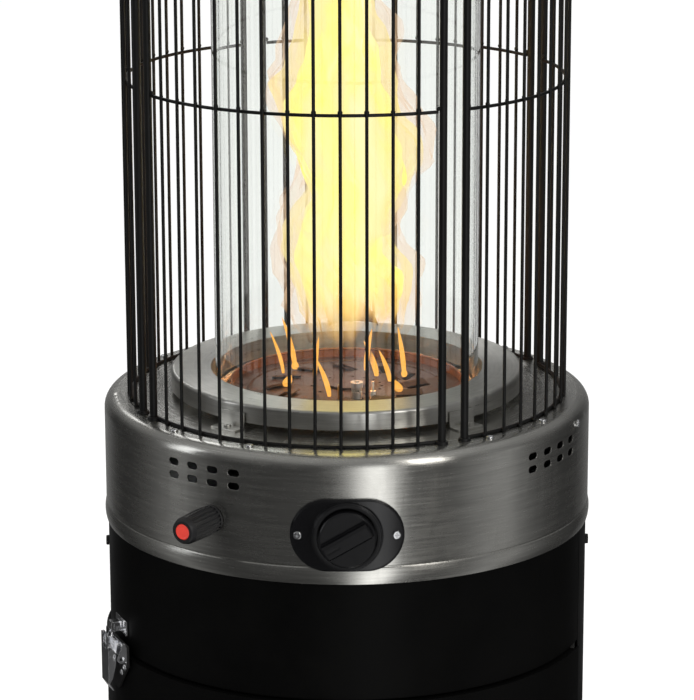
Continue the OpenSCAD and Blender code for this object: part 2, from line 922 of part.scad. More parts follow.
module valve_stem() {
  color([0.72, 0.6, 0.3])
    translate([0, 0, knob_z])
      out_rod(stem_r, stem_in, knob_back + 9 - seat);
}

module thrust_washer() {
  color([0.6, 0.6, 0.62])
    translate([0, 0, knob_z])
      difference() {
        out_rod(washer_r, knob_back - washer_t - seat, knob_back - seat);
        out_rod(stem_r + running, knob_back - 9, knob_back + 9);
      }
}

module valve_body() {
  color([0.62, 0.6, 0.55])
    difference() {
      union() {
        translate([-valve_w / 2, -neck_back, valve_low])
          cube([valve_w, neck_back - valve_back, valve_high - valve_low]);
        translate([0, 0, knob_z]) out_rod(neck_r, neck_back - 2, neck_front);
        translate([0, 0, tube_z]) out_rod(tube_r + 3, valve_back - 8, valve_back + 2);
      }
      translate([0, 0, knob_z]) out_rod(stem_r + running, stem_in - knob_push - 1, neck_front + cut);
      translate([0, 0, tube_z]) out_rod(tube_r + seat, valve_back - 9, valve_back - 2);
      translate([0, -inlet_y, valve_low - cut]) cylinder(r = inlet_r - 2, h = 9);
    }
}

module valve_bracket() {
  color([0.5, 0.5, 0.5])
    difference() {
      union() {
        translate([-26, -neck_back - 1.5 - seat, floor_z + floor_t + seat])
          cube([52, 1.5, valve_high - floor_z - floor_t - 2]);
        translate([-26, -neck_front + 1, floor_z + floor_t + seat])
          cube([52, neck_front - neck_back - 1, 1.5]);
      }
      translate([0, 0, knob_z]) out_rod(neck_r + seat, neck_back - 9, neck_front + 9);
    }
}

module gas_inlet() {
  hex_h = 9;
  color([0.78, 0.62, 0.28])
    translate([0, -inlet_y, 0])
      difference() {
        union() {
          translate([0, 0, inlet_low]) cylinder(r = inlet_r, h = valve_low - seat - inlet_low);
          translate([0, 0, valve_low - seat - hex_h]) cylinder(r = inlet_r + 3.5, h = hex_h, $fn = 6);
        }
        translate([0, 0, inlet_low - cut]) cylinder(r = inlet_r - 3, h = deck_z);
      }
}

module feed_tube() {
  color([0.75, 0.58, 0.3])
    translate([0, 0, tube_z])
      difference() {
        out_rod(tube_r, 9.5, valve_back - 2.5);
        out_rod(tube_r - 1, 0, valve_back);
      }
}

module orifice_holder() {
  color([0.8, 0.64, 0.28])
    difference() {
      union() {
        translate([0, 0, floor_z + 4]) cylinder(r = 9.8, h = mixer_low - floor_z - 4 - seat, $fn = 6);
        translate([0, 0, mixer_low - 1]) cylinder(r = 4, h = 8);
      }
      translate([0, 0, floor_z + 10]) cylinder(r = 1.2, h = 40);
      translate([0, 0, tube_z]) out_rod(tube_r + seat, 4, 19);
      translate([0, 0, tube_z]) out_rod(2, 0, 9);
    }
}

// ---- burner ----

module mixer_tube() {
  mouth_r = bowl_hole_r - skin;
  bowl_up = bowl_floor_z - mixer_low;
  color([0.55, 0.55, 0.55])
    difference() {
      translate([0, 0, mixer_low])
        rotate_extrude()
          difference() {
            polygon([[0, 0], [15, 0], [15, 24], [mouth_r, bowl_up - 4], [bowl_hole_r + 5, bowl_up - 4],
                     [bowl_hole_r + 5, bowl_up - 2 * seat], [mouth_r, bowl_up - 2 * seat],
                     [mouth_r, bowl_up + 6], [0, bowl_up + 6]]);
            polygon([[0, 1.5], [13.8, 1.5], [13.8, 24], [mouth_r - 1.2, bowl_up - 3.5],
                     [mouth_r - 1.2, bowl_up + 9], [0, bowl_up + 9]]);
          }
      translate([0, 0, mixer_low - cut]) cylinder(r = 4 + screw_gap, h = 6);
      for (k = [0:3])
        rotate([0, 0, 45 + 90 * k])
          translate([0, 0, mixer_low + 10]) out_stadium(12, 9, 9, 20);
    }
}

module burner_bowl() {
  color([0.42, 0.3, 0.22])
    difference() {
      rotate_extrude()
        difference() {
          union() {
            translate([0, bowl_floor_z]) square([rim_r - 12, sheet]);
            polygon([[rim_r - 13, bowl_floor_z], [rim_r, bowl_floor_z + 13], [rim_r, bowl_rim_z],
                     [rim_r - sheet, bowl_rim_z], [rim_r - sheet, bowl_floor_z + 13.6],
                     [rim_r - 13.5, bowl_floor_z + sheet]]);
            translate([rim_r - 0.3, deck_z - sheet - seat - 1.2])
              square([deck_hole_r + 10 - rim_r, 1.2]);
            translate([rim_r - 0.6, bowl_rim_z]) circle(r = 1.2, $fn = 32);
            translate([rim_r - 5, plate_z - 1.2 - seat]) square([4.5, 1.2]);
          }
          translate([0, bowl_floor_z - cut]) square([bowl_hole_r, 9]);
        }
      for (p = [[pilot_az, pilot_at], [electrode_az, electrode_at], [probe_az, probe_at]])
        around(p[0], p[1], bowl_floor_z - cut) cylinder(r = 2.6, h = 5);
    }
}

module burner_plate() {
  color([0.36, 0.29, 0.24])
    translate([0, 0, plate_z])
      difference() {
        union() {
          cylinder(r = rim_r - sheet - skin, h = plate_t);
          cylinder(r = 17, h = 4);
          // pressed ring round the louvres and a hood over each one
          rotate_extrude()
            translate([rim_r * 0.84, plate_t - 0.4]) circle(r = 1.8, $fn = 32);
          for (k = [0:vane_n - 1])
            rotate([0, 0, 360 * k / vane_n])
              translate([vane_r, 0, plate_t])
                rotate([0, 0, vane_tilt])
                  translate([-vane_len / 2, 1.6, -0.8])
                    rotate([24, 0, 0])
                      cube([vane_len, 8.5, 1]);
        }
        for (k = [0:vane_n - 1])
          rotate([0, 0, 360 * k / vane_n])
            translate([vane_r, 0, -cut])
              rotate([0, 0, vane_tilt])
                translate([0, -1.8, 0])
                  linear_extrude(plate_t + 2 * cut)
                    stadium(vane_len - 1, 6.4);
        for (k = [0:17])
          rotate([0, 0, 20 * k])
            translate([rim_r * 0.3, 0, -cut]) cylinder(r = 1.6, h = 9, $fn = 24);
        around(pilot_az, pilot_at, -cut) cylinder(r = pilot_r + 1, h = 9);
        around(electrode_az, electrode_at, -cut) cylinder(r = 3.6, h = 9);
        around(probe_az, probe_at, -cut) cylinder(r = 3, h = 9);
      }
}

module pilot_burner() {
  foot_z = bowl_floor_z + sheet + seat;
  color([0.75, 0.72, 0.66]) {
    around(pilot_az, pilot_at, 0)
      difference() {
        union() {
          translate([0, 0, foot_z]) cylinder(r = pilot_r, h = plate_z + 16 - foot_z);
          translate([0, 0, foot_z]) cylinder(r = 9, h = 2);
          translate([0, 0, plate_z + 12]) cylinder(r = pilot_r + 0.8, h = 5);
        }
        translate([0, 0, foot_z - cut]) cylinder(r = 2.6, h = 99);
        translate([0, -pilot_r - 4, plate_z + 9]) cube([20, 20, 2.4], center = true);
      }
    // bracket that carries the electrode and the flame probe beside the pilot
    around(pilot_az, pilot_at, foot_z + 10)
      difference() {
        translate([-24, -6, 0]) cube([48, 15, 1.5]);
        translate([0, 0, -cut]) cylinder(r = pilot_r - 0.3, h = 4);
        rotate([0, 0, -pilot_az])
          translate(-at_az(pilot_az, pilot_at, cut)) {
            translate(at_az(electrode_az, electrode_at, 0)) cylinder(r = electrode_r + screw_gap, h = 4);
            translate(at_az(probe_az, probe_at, 0)) cylinder(r = probe_r + screw_gap, h = 4);
          }
      }
  }
}

// Gas tube from the side of the valve up into the pilot
module pilot_tube() {
  run_z = tube_z + 14;
  route = [[valve_w / 2 + seat, -valve_back - 5, run_z], [valve_w / 2 + 7, -valve_back - 5, run_z],
           [33, -156, run_z], [36, -130, run_z], [30, -100, run_z], [18, -72, run_z + 1],
           [11, -53, run_z + 5],
           at_az(pilot_az, pilot_at, run_z + 14), at_az(pilot_az, pilot_at, bowl_floor_z + 6)];
  color([0.75, 0.55, 0.3])
    tube_along(route, pilot_tube_r, [1, -0.5, 0]);
}

// Flame probe and its lead back to the valve
module thermocouple() {
  low = bowl_floor_z + 6;
  run_z = tube_z + 10;
  route = [at_az(probe_az, probe_at, low - seat), at_az(probe_az, probe_at, low - 20), [-8, -52, run_z + 9],
           [-11, -70, run_z + 2], [-12, -100, run_z], [-10, -140, run_z], [-10, -valve_back + seat, run_z]];
  color([0.72, 0.48, 0.3]) {
    around(probe_az, probe_at, low) cylinder(r = probe_r, h = plate_z + 15 - low);
    tube_along(route, lead_r, [1, 0.1, 0]);
  }
}

// Ceramic-sheathed spark electrode and its lead back to the igniter
module igniter_electrode() {
  low = bowl_floor_z + 6;
  route = [at_az(electrode_az, electrode_at, low - seat), at_az(electrode_az, electrode_at, low - 20),
           [19, -48, ign_z + 4], [0, -62, ign_z + 2], [-40, -95, ign_z + 1],
           at_az(ign_az, band_r - ign_depth - 20, ign_z), at_az(ign_az, band_r - ign_depth - seat, ign_z)];
  color([0.93, 0.92, 0.88]) {
    around(electrode_az, electrode_at, 0) {
      translate([0, 0, low]) cylinder(r = electrode_r, h = plate_z + 8 - low);
      translate([0, 0, plate_z + 8]) cylinder(r = 1, h = 9);
    }
    tube_along(route, lead_r, [0.1, 1, 0]);
  }
}

// ---- igniter ----

module igniter_body() {
  color([0.06, 0.06, 0.065])
    around(ign_az, 0, ign_z)
      difference() {
        union() {
          out_rod(thread_r, band_r - 52, band_r + 22);
          out_rod(ign_r - 0.6, band_r + seat + 0.3, band_r + 2.5);
          out_rod(4, band_r - ign_depth, band_r - 51);
        }
        out_rod(cell_r + 0.2, cell_front - cell_len - 0.5, band_r + 30);
      }
}

module igniter_nut() {
  color([0.08, 0.08, 0.085])
    around(ign_az, 0, ign_z)
      difference() {
        translate([0, -(band_r - sheet - 3 - 5), 0])
          rotate([90, 0, 0])
            cylinder(r = thread_r + 6, h = 5, $fn = 6);
        out_rod(thread_r + seat, band_r - 30, band_r);
      }
}

// Outline of the cap with its flutes
module fluted(r) {
  difference() {
    circle(r);
    for (k = [0:flutes - 1])
      rotate((k + 0.5) * 360 / flutes)
        translate([r + 0.4, 0])
          circle(r = 1.5, $fn = 24);
  }
}

module igniter_cap() {
  cap_len = ign_tip - ign_groove;
  color([0.06, 0.06, 0.065])
    around(ign_az, 0, ign_z)
      difference() {
        union() {
          translate([0, -band_r - 2.8, 0])
            rotate([90, 0, 0])
              linear_extrude(ign_groove - band_r - 3.6)
                fluted(ign_r - 0.7);
          out_rod(ign_r - 2.6, band_r + 3, ign_groove + 1);
          translate([0, -ign_groove, 0])
            rotate([90, 0, 0])
              intersection() {
                rotate_extrude()
                  polygon([[0, 0], [ign_r - 0.4, 0], [ign_r, 1], [ign_r, 10], [ign_r - 0.8, cap_len - 5],
                           [ign_r - 2, cap_len - 1.5], [ign_r - 3.2, cap_len], [0, cap_len]]);
                union() {
                  linear_extrude(cap_len - 6) fluted(ign_r);
                  translate([0, 0, cap_len - 6.5]) linear_extrude(7) circle(ign_r);
                }
              }
        }
        out_rod(thread_r + running, band_r, band_r + 23);
        out_rod(button_r + running, band_r + 20, ign_tip + cut);
      }
}

module igniter_button() {
  color([0.78, 0.1, 0.06])
    around(ign_az, 0, ign_z)
      translate([0, -(band_r + 23 + button_push), 0])
        rotate([90, 0, 0])
          rotate_extrude() {
            high = ign_tip - band_r - 23 - button_push + 0.6;
            polygon([[0, 0], [button_r, 0], [button_r, high - 1.2], [button_r - 1, high - 0.3],
                     [button_r - 2.4, high - 0.9], [0, high - 0.7]]);
          }
}

module igniter_battery() {
  color([0.75, 0.6, 0.2])
    around(ign_az, 0, ign_z) {
      out_rod(cell_r, cell_front - cell_len, cell_front);
      out_rod(1.9, cell_front - 0.5, cell_front + 1.2);
    }
}

module tilt_switch() {
  color([0.2, 0.2, 0.22])
    around(-60, 150, floor_z + floor_t + seat)
      difference() {
        union() {
          translate([-14, -9, 0]) cube([28, 18, 24]);
          translate([-24, -9, 0]) cube([48, 18, 2]);
        }
        for (s = [-1, 1])
          translate([s * 19, 0, -cut]) cylinder(r = 2.1, h = 9);
      }
}

// ---- glass seat and glass ----

module glass_collar() {
  color([0.68, 0.68, 0.66])
    rotate_extrude($fn = 180)
      difference() {
        union() {
          translate([collar_hole_r, collar_z - 3]) square([collar_r - collar_hole_r - 3, 3]);
          translate([collar_hole_r, deck_z + 5]) square([sheet, collar_h - 6]);
          translate([collar_r - sheet, deck_z + collar_lift])
            square([sheet, collar_h - collar_lift - 3]);
          translate([collar_r - 3, collar_z - 3]) circle(r = 3);
          translate([collar_hole_r + 1.4, collar_z - 1.4]) circle(r = 1.4, $fn = 48);
        }
        translate([collar_hole_r + sheet, deck_z]) {
          square([collar_r - collar_hole_r - 2 * sheet, collar_h - 3]);
          square([collar_r - collar_hole_r - 3 - sheet, collar_h - sheet]);
        }
      }
}

module collar_brackets() {
  color([0.66, 0.66, 0.64])
    for (a = bracket_azs)
      around(a, 0, deck_z + seat)
        difference() {
          union() {
            translate([-14, -collar_r - 14, 0]) cube([28, 13.4, 1.5]);
            translate([-14, -collar_r - 2.1, 0]) cube([28, 1.5, 15]);
            translate([0, -collar_r - 8, 1.4]) cylinder(r = 3.2, h = 2.2);
          }
          translate([0, 0, -cut]) cylinder(r = collar_r + 0.3, h = 40);
          translate([0, -collar_r - 8, 2.4]) cylinder(r = 1.6, h = 3, $fn = 6);
        }
}

module glass_gasket() {
  color([0.85, 0.84, 0.8]) {
    wall(glass_r + 2, glass_t + 4, deck_z + seat, deck_z + gasket_t + seat);
    wall(glass_r + 1, glass_t + 3, glass_top + seat, guard_z - seat);
  }
}

module glass_tube() {
  color([0.8, 0.9, 0.88, 0.35])
    wall(glass_r, glass_t, glass_low, glass_top);
}

// ---- cage ----

// One quarter of the cage; from is the azimuth of its first post
module cage_panel(from) {
  steps = panel_wires + 1;
  color([0.03, 0.03, 0.03]) {
    for (k = [1:panel_wires])
      around(from + k * post_step, cage_r, deck_z + seat)
        cylinder(r = wire_r, h = cage_h, $fn = 24);
    for (k = [0, steps])
      around(from + k * post_step, cage_r, deck_z + seat) {
        cylinder(r = post_r, h = guard_z - deck_z - 2 * seat, $fn = 32);
        cylinder(r1 = post_r + 2.2, r2 = post_r + 1.5, h = 2.5, $fn = 32);
        cylinder(r = stud_r, h = guard_z - deck_z + stud_h, $fn = 32);
      }
    for (z = ring_zs)
      rotate([0, 0, from - 90 + asin((post_r + seat) / cage_r)])
        rotate_extrude(angle = steps * post_step - 2 * asin((post_r + seat) / cage_r))
          translate([ring_r, deck_z + z])
            circle(r = wire_r, $fn = 24);
  }
}

module cage_panel_right() {
  cage_panel(seam_az + post_step / 2);
}

module cage_panel_rear() {
  cage_panel(seam_az + post_step / 2 + 90);
}

module cage_panel_left() {
  cage_panel(seam_az + post_step / 2 + 180);
}

module cage_panel_front() {
  cage_panel(seam_az + post_step / 2 + 270);
}

// ---- top ----

module guard_top() {
  color([0.06, 0.06, 0.06])
    difference() {
      union() {
        translate([0, 0, guard_z]) cylinder(r = guard_out_r, h = guard_t);
        wall(guard_out_r, 1.5, guard_z - guard_rim, guard_z + 0.5);
        wall(glass_r + 3, 1.5, guard_z - 14, guard_z + 0.5);
      }
      translate([0, 0, guard_z - cut]) cylinder(r = guard_hole_r, h = 9);
      for (q = [0:3], k = [-0.5, 0.5])
        around(seam_az + 90 * q + k * post_step, cage_r, guard_z - cut)
          cylinder(r = stud_r + screw_gap, h = 9, $fn = 32);
    }
}

module outlet_ring() {
  low = guard_z + guard_t + seat;
  color([0.62, 0.62, 0.6])
    difference() {
      union() {
        wall(outlet_r, sheet, low, dome_z(outlet_r) - sheet - skin);
        difference() {
          translate([0, 0, low]) cylinder(r = outlet_r + 10, h = 1.5);
          translate([0, 0, low - cut]) cylinder(r = outlet_r - sheet, h = 9);
        }
      }
      for (k = [0:outlet_slots - 1])
        rotate([0, 0, 360 * k / outlet_slots])
          translate([0, 0, low + 40])
            translate([0, -outlet_r + 6, 0])
              rotate([90, 90, 0])
                linear_extrude(12)
                  stadium(48, 18);
    }
}

module top_cap() {
  color([0.64, 0.64, 0.62])
    difference() {
      rotate_extrude($fn = 180)
        difference() {
          intersection() {
            translate([0, dome_brim_z + dome_rise - dome_R]) circle(r = dome_R, $fn = 256);
            translate([0, dome_brim_z]) square([dome_r, dome_rise + 9]);
          }
          translate([0, dome_brim_z + dome_rise - dome_R]) circle(r = dome_R - sheet, $fn = 256);
        }
      for (a = cap_bolt_azs)
        around(a, cap_bolt_at, dome_brim_z) cylinder(r = cap_bolt_r + 0.4, h = 99);
    }
  color([0.64, 0.64, 0.62])
    difference() {
      wall(dome_r, sheet, dome_brim_z - 16, dome_brim_z + 0.4);
      translate([0, 0, dome_brim_z - 13]) wall(dome_r + 2, 1, 0, 1);
    }
}

// Acorn nuts on the cage studs, and the four bolts that hold the cap with theirs
module cap_nuts() {
  color([0.82, 0.82, 0.83]) {
    for (q = [0:3], k = [-0.5, 0.5])
      around(seam_az + 90 * q + k * post_step, cage_r, guard_z + guard_t + seat)
        acorn(stud_r, 4.4);
    for (a = cap_bolt_azs)
      around(a, cap_bolt_at, 0) {
        translate([0, 0, guard_z + guard_t + seat])
          cylinder(r = cap_bolt_r + 2.5, h = dome_z(cap_bolt_at) - sheet - 2.2 - guard_z - guard_t);
        translate([0, 0, guard_z + guard_t + 1])
          cylinder(r = cap_bolt_r, h = dome_z(cap_bolt_at) - guard_z - guard_t + 3);
        translate([0, 0, dome_z(cap_bolt_at) + 1.2]) acorn(cap_bolt_r - 0.4, 5.5);
      }
  }
}

// Acorn nut standing on z = 0, with a blind hole that clears the stud
module acorn(hole_r, size_r) {
  difference() {
    union() {
      cylinder(r = size_r, h = 4, $fn = 6);
      translate([0, 0, 3.5]) sphere(r = size_r * 0.8, $fn = 48);
    }
    translate([0, 0, -9]) cylinder(r = hole_r + 0.1, h = 9 + 4.6);
    translate([0, 0, -20]) cylinder(r = 20, h = 20);
  }
}

base_pan();
base_feet();
bottle_ring();
frame_posts();
rear_shell();
front_fascia();
body_screws();
wheel_bracket();
wheel_axle();
wheel_left();
wheel_right();
axle_caps();
door_panel();
door_hinge_leaves();
frame_hinge_leaves();
hinge_pins();
latch_plate();
latch_bracket();
latch_rivets();
latch_lever();
latch_claw();
latch_keeper();
head_floor();
control_band();
band_screws();
bezel();
bezel_screws();
control_knob();
valve_stem();
thrust_washer();
valve_body();
valve_bracket();
gas_inlet();
feed_tube();
orifice_holder();
mixer_tube();
burner_bowl();
burner_plate();
pilot_burner();
pilot_tube();
thermocouple();
igniter_electrode();
igniter_body();
igniter_nut();
igniter_cap();
igniter_button();
igniter_battery();
tilt_switch();
glass_collar();
collar_brackets();
glass_gasket();
glass_tube();
cage_panel_front();
cage_panel_right();
cage_panel_rear();
cage_panel_left();
guard_top();
outlet_ring();
top_cap();
cap_nuts();
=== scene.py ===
# %% [markdown]
# # Dressing a gas patio heater
#
# The CAD model already holds every sheet, screw and wire of the heater at its true size. This script
# adds what CAD leaves out: finishes that look like brushed steel, powder coat, glass and hot metal, a
# flame, the welds of the cage, and a small studio. Lengths are in metres, +Z is up and the
# control knob faces -Y.

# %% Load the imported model
import json
import math

import bmesh
import bpy
from mathutils import Matrix, Vector, noise


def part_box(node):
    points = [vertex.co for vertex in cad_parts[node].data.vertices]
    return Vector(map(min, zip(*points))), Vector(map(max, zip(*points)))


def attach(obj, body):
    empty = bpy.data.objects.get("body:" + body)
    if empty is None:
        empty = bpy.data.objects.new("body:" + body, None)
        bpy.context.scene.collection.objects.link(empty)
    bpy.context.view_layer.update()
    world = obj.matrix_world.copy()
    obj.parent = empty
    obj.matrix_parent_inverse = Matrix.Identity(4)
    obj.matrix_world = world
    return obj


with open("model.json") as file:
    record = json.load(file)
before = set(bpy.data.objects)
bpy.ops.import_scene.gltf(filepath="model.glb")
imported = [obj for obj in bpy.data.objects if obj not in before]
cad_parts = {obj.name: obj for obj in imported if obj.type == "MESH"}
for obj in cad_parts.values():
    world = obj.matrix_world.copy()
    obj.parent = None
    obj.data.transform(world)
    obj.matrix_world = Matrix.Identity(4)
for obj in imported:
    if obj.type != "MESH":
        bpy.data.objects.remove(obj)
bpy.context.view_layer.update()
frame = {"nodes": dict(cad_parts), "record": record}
nodes = frame["nodes"]
ROOT = "heater"

# %% [markdown]
# ## Landmarks
#
# Everything added later is placed from the CAD boxes, so it stays right if the model changes. The deck
# is the flat top of the steel control band, and most heights are counted from it.

# %% Heights and radii taken from the CAD nodes
deck_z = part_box("control_band")[1].z
band_r = -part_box("control_band")[0].y
plate_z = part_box("burner_plate")[1].z
burner_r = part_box("burner_bowl")[1].x
print("deck", round(deck_z, 3), "band radius", round(band_r, 4), "burner radius", round(burner_r, 3))

# %% [markdown]
# ## Camera
#
# A long lens keeps the uprights of the cage almost parallel. The camera stands a good 2.9 m in front
# of the axis, a little higher than the deck, and looks down by about 15 degrees at the control band
# and the lower half of the glass. The plain view transform keeps a white studio white.

# %% The camera
LENS = 168.0
EYE = Vector((0.0, -2.9286, deck_z + 0.8098))
LOOK_DOWN = math.radians(14.79)
ROLL = math.radians(-0.16)
camera_data = bpy.data.cameras.new("camera")
camera_data.lens = LENS
camera_data.sensor_width = 36.0
camera_data.shift_x = 0.0005
camera_data.clip_end = 100.0
camera = bpy.data.objects.new("camera", camera_data)
camera.matrix_world = (Matrix.Translation(EYE) @ Matrix.Rotation(math.pi / 2 - LOOK_DOWN, 4, "X")
                       @ Matrix.Rotation(ROLL, 4, "Z"))
bpy.context.scene.collection.objects.link(camera)
bpy.context.scene.camera = camera
bpy.context.scene.view_settings.view_transform = "Standard"
print("camera at", tuple(round(v, 3) for v in EYE), "lens", LENS)

# %% [markdown]
# ## Writing shader maths as plain expressions
#
# A finish is a small program: noise decides where the brush strokes lie, a ramp turns that into a
# roughness, and so on. Written node by node it is hard to read. `Signal` wraps one output of a node and
# overloads the arithmetic operators, so `0.3 + 0.1 * strokes` adds the two Math nodes by itself. Any
# other node comes from `Finish.node`, which takes the node's type, its settings and its inputs.

# %% Signal: one socket that can be used in an expression
class Signal:
    def __init__(self, finish, socket):
        self.finish = finish
        self.socket = socket

    def math(self, operation, first, second=0.0):
        return self.finish.node("ShaderNodeMath", {"operation": operation}, {0: first, 1: second})

    def __add__(self, other):
        return self.math("ADD", self, other)

    def __sub__(self, other):
        return self.math("SUBTRACT", self, other)

    def __rsub__(self, other):
        return self.math("SUBTRACT", other, self)

    def __mul__(self, other):
        return self.math("MULTIPLY", self, other)

    def __truediv__(self, other):
        return self.math("DIVIDE", self, other)

    def __pow__(self, other):
        return self.math("POWER", self, other)

    __radd__ = __add__
    __rmul__ = __mul__


print("operators ready: + - * / **")


# %% Finish: one material and the nodes that feed it
class Finish:
    def __init__(self, name, **constants):
        self.material = bpy.data.materials.new(name)
        self.material.use_nodes = True
        self.tree = self.material.node_tree
        self.shader = self.tree.nodes["Principled BSDF"]
        self.output = self.tree.nodes["Material Output"]
        for socket, value in constants.items():
            self.shader.inputs[socket.replace("_", " ")].default_value = value

    def node(self, kind, settings=None, inputs=None, output=0):
        made = self.tree.nodes.new(kind)
        for name, value in (settings or {}).items():
            if name == "stops":
                self.set_stops(made.color_ramp, value)
            else:
                setattr(made, name, value)
        for name, value in (inputs or {}).items():
            self.connect(value, made.inputs[name])
        return Signal(self, made.outputs[output])

    def set_stops(self, ramp, stops):
        while len(ramp.elements) < len(stops):
            ramp.elements.new(0.5)
        for element, (place, colour) in zip(ramp.elements, stops):
            element.position = place
            element.color = colour if len(colour) == 4 else (*colour, 1.0)

    def connect(self, value, socket):
        if isinstance(value, Signal):
            self.tree.links.new(value.socket, socket)
        elif isinstance(value, tuple) and len(value) == 3 and socket.type == "RGBA":
            socket.default_value = (*value, 1.0)
        else:
            socket.default_value = value

    def feed(self, **signals):
        for socket, value in signals.items():
            self.connect(value, self.shader.inputs[socket.replace("_", " ")])
        return self.material

    def place(self):
        return self.node("ShaderNodeTexCoord", output="Object")

    def noise(self, vector, scale, detail=2.0, roughness=0.5, distortion=0.0):
        return self.node("ShaderNodeTexNoise", inputs={
            "Vector": vector, "Scale": scale, "Detail": detail, "Roughness": roughness,
            "Distortion": distortion})

    def span(self, value, low, high, to_low=0.0, to_high=1.0):
        return self.node("ShaderNodeMapRange", inputs={
            "Value": value, "From Min": low, "From Max": high, "To Min": to_low, "To Max": to_high})

    def ramp(self, value, stops):
        return self.node("ShaderNodeValToRGB", {"stops": stops}, {"Fac": value})

    def blend(self, factor, first, second):
        return self.node("ShaderNodeMix", {"data_type": "RGBA"}, {0: factor, 6: first, 7: second}, 2)

    def bump(self, height, distance, strength=1.0, normal=None):
        inputs = {"Height": height, "Distance": distance, "Strength": strength}
        if normal is not None:
            inputs["Normal"] = normal
        return self.node("ShaderNodeBump", inputs=inputs)

    def eased_edges(self, radius):
        return self.node("ShaderNodeBevel", {"samples": 4}, {"Radius": radius})


print("finishes can now be written as expressions")

# %% [markdown]
# ## Studio
#
# The floor is a wide pale sheet. The light is the even white of a studio, but metal looks flat in
# an even room: what gives steel its form is the dark gaps between the soft boxes. So the world answers
# mirror-like rays with a ring of soft boxes and dark cards, and all other rays with plain white. The
# floor is left out of reflections for the same reason.


# %% Adding an object to the scene
def add_object(name, data):
    made = bpy.data.objects.new(name, data)
    bpy.context.scene.collection.objects.link(made)
    return made


print("objects can be added")


# %% The floor
FLOOR_SIZE = 60.0


def pale_floor():
    mesh = bpy.data.meshes.new("floor")
    half = FLOOR_SIZE / 2
    mesh.from_pydata([(-half, -half, 0), (half, -half, 0), (half, half, 0), (-half, half, 0)], [], [(0, 1, 2, 3)])
    floor = add_object("floor", mesh)
    paint = Finish("pale_floor", Roughness=0.9)
    cloud = paint.noise(paint.place(), 0.8)
    floor.data.materials.append(paint.feed(Base_Color=paint.ramp(cloud, [
        (0.3, (0.93, 0.93, 0.925)), (0.7, (0.96, 0.96, 0.955))])))
    floor.visible_glossy = False
    return floor


print("floor", pale_floor().name)


# %% The ring of soft boxes, by azimuth from the front
# Each stop is (azimuth in degrees, brightness); azimuth 0 is straight in front, positive to the right.
SOFT_BOXES = [(-180, 0.26), (-156, 0.14), (-140, 0.03), (-128, 0.025), (-112, 0.05), (-98, 0.13), (-86, 0.21),
              (-74, 0.1), (-60, 0.04), (-40, 0.045), (-20, 0.055), (-9, 0.08), (-2, 0.19), (4, 0.7), (9, 1.6),
              (14, 2.0), (19, 1.4), (24, 0.4), (29, 0.11), (38, 0.08), (50, 0.085), (60, 0.19), (70, 0.29),
              (80, 0.34), (90, 0.17), (104, 0.08), (116, 0.045), (138, 0.03), (156, 0.12), (180, 0.26)]
# Brightness of the even white that everything but a mirror sees, and the lamps' slightly warm colour
ROOM_WHITE = 1.12
WARM_WHITE = (1.0, 0.975, 0.94)


class World(Finish):
    def __init__(self):
        self.world = bpy.data.worlds.new("studio")
        self.world.use_nodes = True
        self.tree = self.world.node_tree
        self.background = self.tree.nodes["Background"]
        bpy.context.scene.world = self.world


def studio_world():
    studio = World()
    direction = studio.node("ShaderNodeTexCoord", output="Generated")
    split = studio.node("ShaderNodeSeparateXYZ", inputs={0: direction})
    x, y, z = (Signal(studio, split.socket.node.outputs[k]) for k in range(3))
    turn = x.math("ARCTAN2", x, y * -1.0) / (2 * math.pi) + 0.5
    ring = studio.ramp(turn, [((a + 180) / 360, (b, b, b)) for a, b in SOFT_BOXES])
    ceiling = studio.ramp(z * 0.5 + 0.5, [(0.0, (0.03,) * 3), (0.5, (0.09,) * 3), (0.62, (0.12,) * 3),
                                           (1.0, (0.4,) * 3)])
    upward = studio.span(z, 0.1, 0.5)
    mirror_view = studio.blend(upward, ring, ceiling)
    is_mirror = studio.node("ShaderNodeLightPath", output="Is Glossy Ray")
    colour = studio.blend(is_mirror, (ROOM_WHITE,) * 3, mirror_view)
    studio.connect(colour, studio.background.inputs["Color"])


studio_world()
print("world with", len(SOFT_BOXES), "stops in its ring of soft boxes")


# %% Lamps: a soft key from the right, a weak fill from the left, a back light
def soft_box(name, azimuth, height, distance, width, tall, watts, colour):
    lamp = bpy.data.lights.new(name, "AREA")
    lamp.shape = "RECTANGLE"
    lamp.size = width
    lamp.size_y = tall
    lamp.energy = watts
    lamp.color = colour
    holder = add_object(name, lamp)
    a = math.radians(azimuth)
    holder.location = (distance * math.sin(a), -distance * math.cos(a), height)
    aim = Vector((0, 0, deck_z)) - holder.location
    holder.rotation_euler = aim.to_track_quat("-Z", "Y").to_euler()
    holder.visible_camera = False


soft_box("key_box", 38, 2.2, 2.4, 0.7, 1.4, 14.0, WARM_WHITE)
soft_box("fill_box", -80, 1.6, 2.6, 0.6, 1.6, 5.0, (0.95, 0.97, 1.0))
soft_box("back_box", 190, 2.4, 2.6, 1.2, 1.0, 8.0, (1.0, 1.0, 1.0))
print("three soft boxes")

# %% [markdown]
# ## Brushed sheet steel
#
# The band, collar, outlet ring and cap are turned on a lathe-like polisher, so their scratches run
# round the axis. A scratch is long one way and thin the other: noise read along the unit circle is
# slow, and noise read along the profile (radius minus height) is fast. That needs no UV map and has no
# seam. The anisotropy of the shader then spreads highlights across the scratches, which is what draws
# the tall soft streaks down the side of the band.


# %% Coordinates that follow a turned part
def turned_place(finish, around_scale, profile_scale):
    split = finish.node("ShaderNodeSeparateXYZ", inputs={0: finish.place()})
    x, y, z = (Signal(finish, split.socket.node.outputs[k]) for k in range(3))
    radius = (x * x + y * y) ** 0.5
    return finish.node("ShaderNodeCombineXYZ", inputs={
        0: x / radius * around_scale, 1: y / radius * around_scale, 2: (radius - z) * profile_scale}), z


print("coordinates for turned parts ready")


